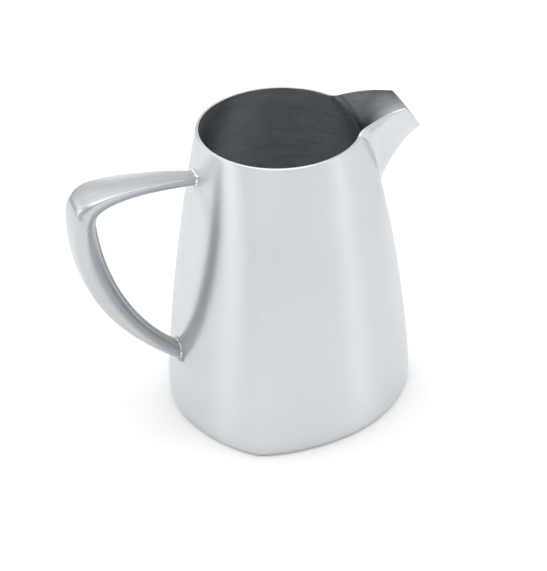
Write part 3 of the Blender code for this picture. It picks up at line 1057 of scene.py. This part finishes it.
def points_along(line, place, where):
    """The points of a line at these places, given the place of each of its own points."""
    return np.stack([np.interp(where, place, line[:, axis]) for axis in range(3)], axis=-1)


def make_bead(name, u, steps, node):
    """A bead where the handle's end meets the wall, in even steps, thick and thin by turns."""
    line = meet_wall(handle_grid(u), BEAD_OFF)
    closed = np.concatenate([line, line[:1]])
    finer = np.linspace(0, len(line), 6 * len(line), endpoint=False)
    line = points_along(closed, np.arange(len(closed)), finer)
    distance = np.concatenate([[0], np.cumsum(np.linalg.norm(np.diff(line, axis=0), axis=-1))])
    line = points_along(line, distance, np.linspace(0, distance[-1], BEAD_POINTS, endpoint=False))
    turn = np.linspace(0, 2 * math.pi, len(line), endpoint=False)
    ripple = 1 + RIPPLES[0][0] * np.cos(steps * turn)
    for depth, waves, phase in RIPPLES:
        ripple = ripple + depth * np.cos(waves * turn + phase)
    return tube_piece(name, line, BEAD_RADIUS * ripple, POLISHED_WELD, "polished_weld", node)


upper_bead = make_bead("upper_bead", np.linspace(0.08, 0, 10), 11, "handle_upper_weld")
lower_bead = make_bead("lower_bead", np.linspace(0.92, 1, 10), 13, "handle_lower_weld")

# %% [markdown]
# The bottom of the jug is a flat plate with its edge broken, set inside the turned-in foot of
# the wall and welded all round.

# %% Base plate and its weld
PLATE_INSET = 2.2 * MM
PLATE_EDGE = 0.15 * MM
PLATE_COLUMNS = 200
PLATE_MIDDLE = 0.02
BASE_WELD_RADIUS = 0.42 * MM
BASE_WELD_COLUMNS = 240


def foot_outline(inset, count):
    """The body's outline at the floor, moved in by inset."""
    angle = np.linspace(0, 2 * math.pi, count, endpoint=False)
    return body_point(0 * angle, angle, inset)


def make_base():
    """Rings from the middle of the underside out over the edge and back to the middle of the top."""
    low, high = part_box("base_plate")
    outline = foot_outline(PLATE_INSET, PLATE_COLUMNS)
    under = [(share, low.z) for share in np.linspace(PLATE_MIDDLE, 1, 24)[:-1]]
    under += [(1 - PLATE_EDGE / RADII[0], low.z), (1.0, low.z + PLATE_EDGE)]
    over = [(share, low.z + high.z - z) for share, z in reversed(under)]
    levels = np.array(under + over)
    points = outline[None] * levels[:, :1, None]
    points[..., 2] = levels[:, 1:]
    rows, columns = points.shape[:2]
    faces = [list(face) for face in grid_faces(rows, columns, close_columns=True)]
    faces += [list(range(columns)), list(range((rows - 1) * columns, rows * columns))]
    uv = points[..., :2] / RADII[0]
    piece = make_piece("base_plate_turned", points, faces, uv, [SATIN_BASE])
    return settle(piece, "base_sheet", "base_plate")


def make_base_weld():
    """The weld round the plate, a little above the middle of the sheet."""
    line = foot_outline(PLATE_INSET - PLATE_EDGE, BASE_WELD_COLUMNS)
    line[:, 2] = WALL * 0.55
    radius = np.full(len(line), BASE_WELD_RADIUS)
    return tube_piece("base_weld", line, radius, POLISHED_WELD, "polished_weld", "base_seam_weld")


base = make_base()
base_weld = make_base_weld()

# %% [markdown]
# ## Room
# The jug stands on a white sweep in an even white room. Bare steel shows only what is round it,
# so soft lamps, and soft darker places between them, draw the broad bands on the body.

# %% Floor and light
FLOOR_SIZE = 6.0
EVEN_LIGHT = 0.72


def add_floor():
    """A square of white floor, whose middle is under the jug."""
    mesh = bpy.data.meshes.new("floor")
    corners = [(x * FLOOR_SIZE, y * FLOOR_SIZE, 0.0) for x, y in ((-1, -1), (1, -1), (1, 1), (-1, 1))]
    mesh.from_pydata(corners, [], [(0, 1, 2, 3)])
    floor = bpy.data.objects.new("floor", mesh)
    material = bpy.data.materials.new("white_sweep")
    material.use_nodes = True
    shader = material.node_tree.nodes["Principled BSDF"]
    shader.inputs["Base Color"].default_value = (0.91, 0.91, 0.91, 1.0)
    shader.inputs["Roughness"].default_value = 0.9
    shader.inputs["Specular IOR Level"].default_value = 0.1
    mesh.materials.append(material)
    bpy.context.scene.collection.objects.link(floor)
    return floor


def direction(azimuth, elevation):
    """The unit vector at these angles, in degrees: round from +X, and up from the floor."""
    azimuth, elevation = math.radians(azimuth), math.radians(elevation)
    level = math.cos(elevation)
    return Vector((level * math.cos(azimuth), level * math.sin(azimuth), math.sin(elevation)))


def set_room(even, lamps):
    """An even room, with soft lamps: each adds strength * max(0, d . lamp) ** sharpness.

    A lamp is its azimuth and elevation in degrees, its sharpness and its strength.
    """
    world = bpy.data.worlds.new("white_room")
    world.use_nodes = True
    tree = world.node_tree
    background = tree.nodes["Background"]
    place = add_node(tree, "ShaderNodeTexCoord")
    total = None
    for azimuth, elevation, sharpness, strength in lamps:
        toward = add_node(tree, "ShaderNodeVectorMath", {"operation": "DOT_PRODUCT"})
        toward.inputs[1].default_value = direction(azimuth, elevation)
        tree.links.new(place.outputs["Generated"], toward.inputs[0])
        front = add_node(tree, "ShaderNodeMath", {"operation": "MAXIMUM"})
        front.inputs[1].default_value = 0.0
        tree.links.new(toward.outputs["Value"], front.inputs[0])
        lobe = add_node(tree, "ShaderNodeMath", {"operation": "POWER"})
        lobe.inputs[1].default_value = sharpness
        tree.links.new(front.outputs[0], lobe.inputs[0])
        add = add_node(tree, "ShaderNodeMath", {"operation": "MULTIPLY_ADD"})
        add.inputs[1].default_value = strength
        add.inputs[2].default_value = even
        tree.links.new(lobe.outputs[0], add.inputs[0])
        if total is not None:
            tree.links.new(total, add.inputs[2])
        total = add.outputs[0]
    tree.links.new(total, background.inputs["Strength"])
    background.inputs["Color"].default_value = (1.0, 1.0, 1.0, 1.0)
    bpy.context.scene.world = world
    return world


LAMPS = [
    (174.0, 18.0, 70.0, 1.9),
    (-26.0, 12.0, 110.0, 1.9),
    (14.0, 5.0, 60.0, -0.35),
    (104.0, 8.0, 150.0, -0.60),
    (105.0, 42.0, 10.0, 0.28),
    (142.0, 28.0, 30.0, 0.8),
    (122.0, -6.0, 40.0, -0.65),
    (127.0, 20.0, 60.0, 0.45),
    (76.0, 11.0, 90.0, 1.2),
    (-90.0, 90.0, 6.0, 2.0),
]
floor = add_floor()
set_room(EVEN_LIGHT, LAMPS)
bpy.context.scene.view_settings.view_transform = "Standard"
print("the room has", len(LAMPS), "soft lamps")
